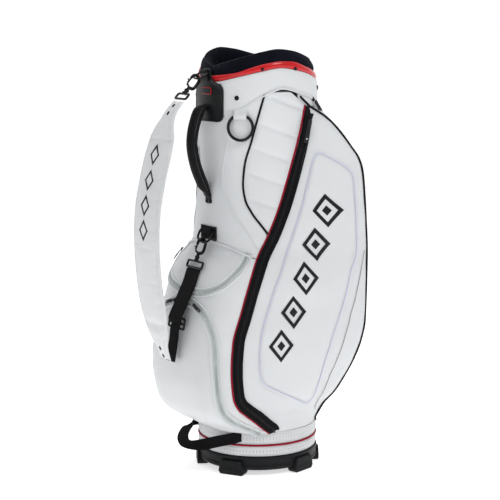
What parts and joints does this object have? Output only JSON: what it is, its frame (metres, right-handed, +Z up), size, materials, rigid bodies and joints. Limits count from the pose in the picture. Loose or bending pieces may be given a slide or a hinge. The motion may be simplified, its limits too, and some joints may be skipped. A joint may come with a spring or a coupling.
{
  "type": "golf staff bag",
  "caption": "Free-standing golf staff bag with a padded oval mouth, club dividers, zipped side and front pockets, lift handle, shoulder strap on snap hooks and a towel ring.",
  "frame": {"origin": "centre of the base's underside, on the plane that the feet stand on", "axes": "+Z up the bag, -Y towards the front with the carrying strap and ball pocket, +X towards the towel ring side"},
  "size_m": [0.4312, 0.4385, 0.9257],
  "materials": {
    "white_leather": "satin coated leather cloth",
    "black_webbing": "woven webbing and padded cloth",
    "black_plastic": "satin moulded",
    "base_plastic": "fine grained moulded",
    "barrel_plastic": "plain",
    "dark_metal": "black enamel",
    "divider_cloth": "fleece",
    "collar_cloth": "soft napped cloth",
    "red_gloss": "patent gloss",
    "crimson_cord": "satin piping",
    "pale_zip": "coated zip tape"
  },
  "bodies": {
    "bag": {"base_shell": "base_plastic", "lower_band": "white_leather", "base_piping": "crimson_cord", "upper_band": "white_leather", "barrel": "barrel_plastic", "barrel_floor": "divider_cloth", "mouth_ring": "black_plastic", "divider_frame": "divider_cloth", "divider_sheets": "divider_cloth", "cuff": "white_leather", "red_band": "red_gloss", "collar_pad": "collar_cloth", "front_upper_panel": "white_leather", "accessory_pocket": "white_leather", "ball_pocket": "white_leather", "back_spine_panel": "white_leather", "back_yoke": "white_leather", "quilted_panel_right": "white_leather", "front_side_panel_right": "white_leather", "apparel_pocket_right": "white_leather", "quilted_panel_left": "white_leather", "front_side_panel_left": "white_leather", "apparel_pocket_left": "white_leather", "ball_pocket_zip": "pale_zip", "accessory_pocket_zip": "pale_zip", "apparel_zip_right": "black_webbing", "apparel_edge_piping_right": "black_webbing", "apparel_zip_left": "black_webbing", "apparel_edge_piping_left": "black_webbing", "label_plate": "black_plastic", "tag": "black_plastic", "anchor_patch": "black_webbing", "lift_handle": "black_webbing", "handle_foot": "black_plastic", "towel_ring_tab": "white_leather", "grab_loop": "black_webbing"},
    "strap": {"upper_hook": "dark_metal", "upper_strap_eye": "dark_metal", "lower_hook": "dark_metal", "lower_strap_eye": "dark_metal", "shoulder_pad": "white_leather", "strap_webbing_wide": "black_webbing", "strap_webbing_narrow": "black_webbing"},
    "upper_gate": {"upper_hook_gate": "dark_metal"},
    "lower_gate": {"lower_hook_gate": "dark_metal"},
    "glide": {"tri_glide": "black_plastic"},
    "head_ring": {"top_ring": "dark_metal"},
    "front_ring": {"anchor_ring": "dark_metal"},
    "side_ring": {"towel_ring": "dark_metal"},
    "apparel_slider_right": {"apparel_zip_right_slider": "dark_metal"},
    "apparel_pull_right": {"apparel_zip_right_pull": "black_webbing"},
    "apparel_slider_left": {"apparel_zip_left_slider": "dark_metal"},
    "apparel_pull_left": {"apparel_zip_left_pull": "black_webbing"},
    "ball_slider_right": {"ball_zip_right_slider": "dark_metal"},
    "ball_pull_right": {"ball_zip_right_pull": "black_webbing"},
    "ball_slider_left": {"ball_zip_left_slider": "dark_metal"},
    "ball_pull_left": {"ball_zip_left_pull": "black_webbing"},
    "accessory_slider": {"accessory_zip_slider": "dark_metal"},
    "accessory_pull": {"accessory_zip_pull": "black_webbing"}
  },
  "joints": [
    {"name": "strap_swing", "type": "hinge", "parent": "bag", "child": "strap", "pos_m": [0, -0.1452, 0.51078], "axis": [0, -0.037, 0.9993], "range_deg": [-3, 3]},
    {"name": "glide_slide", "type": "slide", "parent": "strap", "child": "glide", "axis": [0, 0.1075, 0.9942], "range_m": [0, 0.02]},
    {"name": "head_ring_tilt", "type": "hinge", "parent": "bag", "child": "head_ring", "pos_m": [0, -0.14, 0.874], "axis": [1, 0, 0], "range_deg": [-3, 3]},
    {"name": "front_ring_tilt", "type": "hinge", "parent": "bag", "child": "front_ring", "pos_m": [0, -0.1335, 0.534], "axis": [1, 0, 0], "range_deg": [-3, 3]},
    {"name": "upper_gate_press", "type": "hinge", "parent": "strap", "child": "upper_gate", "pos_m": [0, -0.18009, 0.85559], "axis": [1, 0, 0], "range_deg": [-35, 0], "stiffness_Nm_per_rad": 0.02, "springref_deg": 11.46},
    {"name": "lower_gate_press", "type": "hinge", "parent": "strap", "child": "lower_gate", "pos_m": [0, -0.16236, 0.49508], "axis": [1, 0, 0], "range_deg": [-35, 0], "stiffness_Nm_per_rad": 0.02, "springref_deg": 11.46},
    {"name": "towel_ring_swing", "type": "hinge", "parent": "bag", "child": "side_ring", "pos_m": [0.08678, -0.10342, 0.784], "axis": [-0.766, -0.6428, 0], "range_deg": [0, 150]},
    {"name": "apparel_zip_right", "type": "slide", "parent": "bag", "child": "apparel_slider_right", "axis": [0.1301, -0.3348, -0.9333], "range_m": [0, 0.06]},
    {"name": "apparel_pull_right_lift", "type": "hinge", "parent": "apparel_slider_right", "child": "apparel_pull_right", "pos_m": [0.14495, 0.03861, 0.77707], "axis": [-0.2889, -0.9132, 0.2874], "range_deg": [0, 120]},
    {"name": "apparel_zip_left", "type": "slide", "parent": "bag", "child": "apparel_slider_left", "axis": [-0.1301, -0.3348, -0.9333], "range_m": [0, 0.06]},
    {"name": "apparel_pull_left_lift", "type": "hinge", "parent": "apparel_slider_left", "child": "apparel_pull_left", "pos_m": [-0.14495, 0.03861, 0.77707], "axis": [-0.2889, 0.9132, -0.2874], "range_deg": [0, 120]},
    {"name": "ball_zip_right", "type": "slide", "parent": "bag", "child": "ball_slider_right", "axis": [0.95, -0.0717, -0.304], "range_m": [0, 0.012]},
    {"name": "ball_pull_right_lift", "type": "hinge", "parent": "ball_slider_right", "child": "ball_pull_right", "pos_m": [0.04555, -0.19613, 0.38138], "axis": [-0.3116, -0.2847, -0.9066], "range_deg": [0, 45]},
    {"name": "ball_zip_left", "type": "slide", "parent": "bag", "child": "ball_slider_left", "axis": [-0.95, -0.0717, -0.304], "range_m": [0, 0.012]},
    {"name": "ball_pull_left_lift", "type": "hinge", "parent": "ball_slider_left", "child": "ball_pull_left", "pos_m": [-0.04555, -0.19613, 0.38138], "axis": [-0.3116, 0.2847, 0.9066], "range_deg": [0, 45]},
    {"name": "accessory_zip", "type": "slide", "parent": "bag", "child": "accessory_slider", "axis": [0.0653, -0.702, -0.7091], "range_m": [0, 0.02]},
    {"name": "accessory_pull_lift", "type": "hinge", "parent": "accessory_slider", "child": "accessory_pull", "pos_m": [-0.12114, -0.12731, 0.47607], "axis": [-0.8472, 0.3365, -0.4112], "range_deg": [0, 90]}
  ]
}
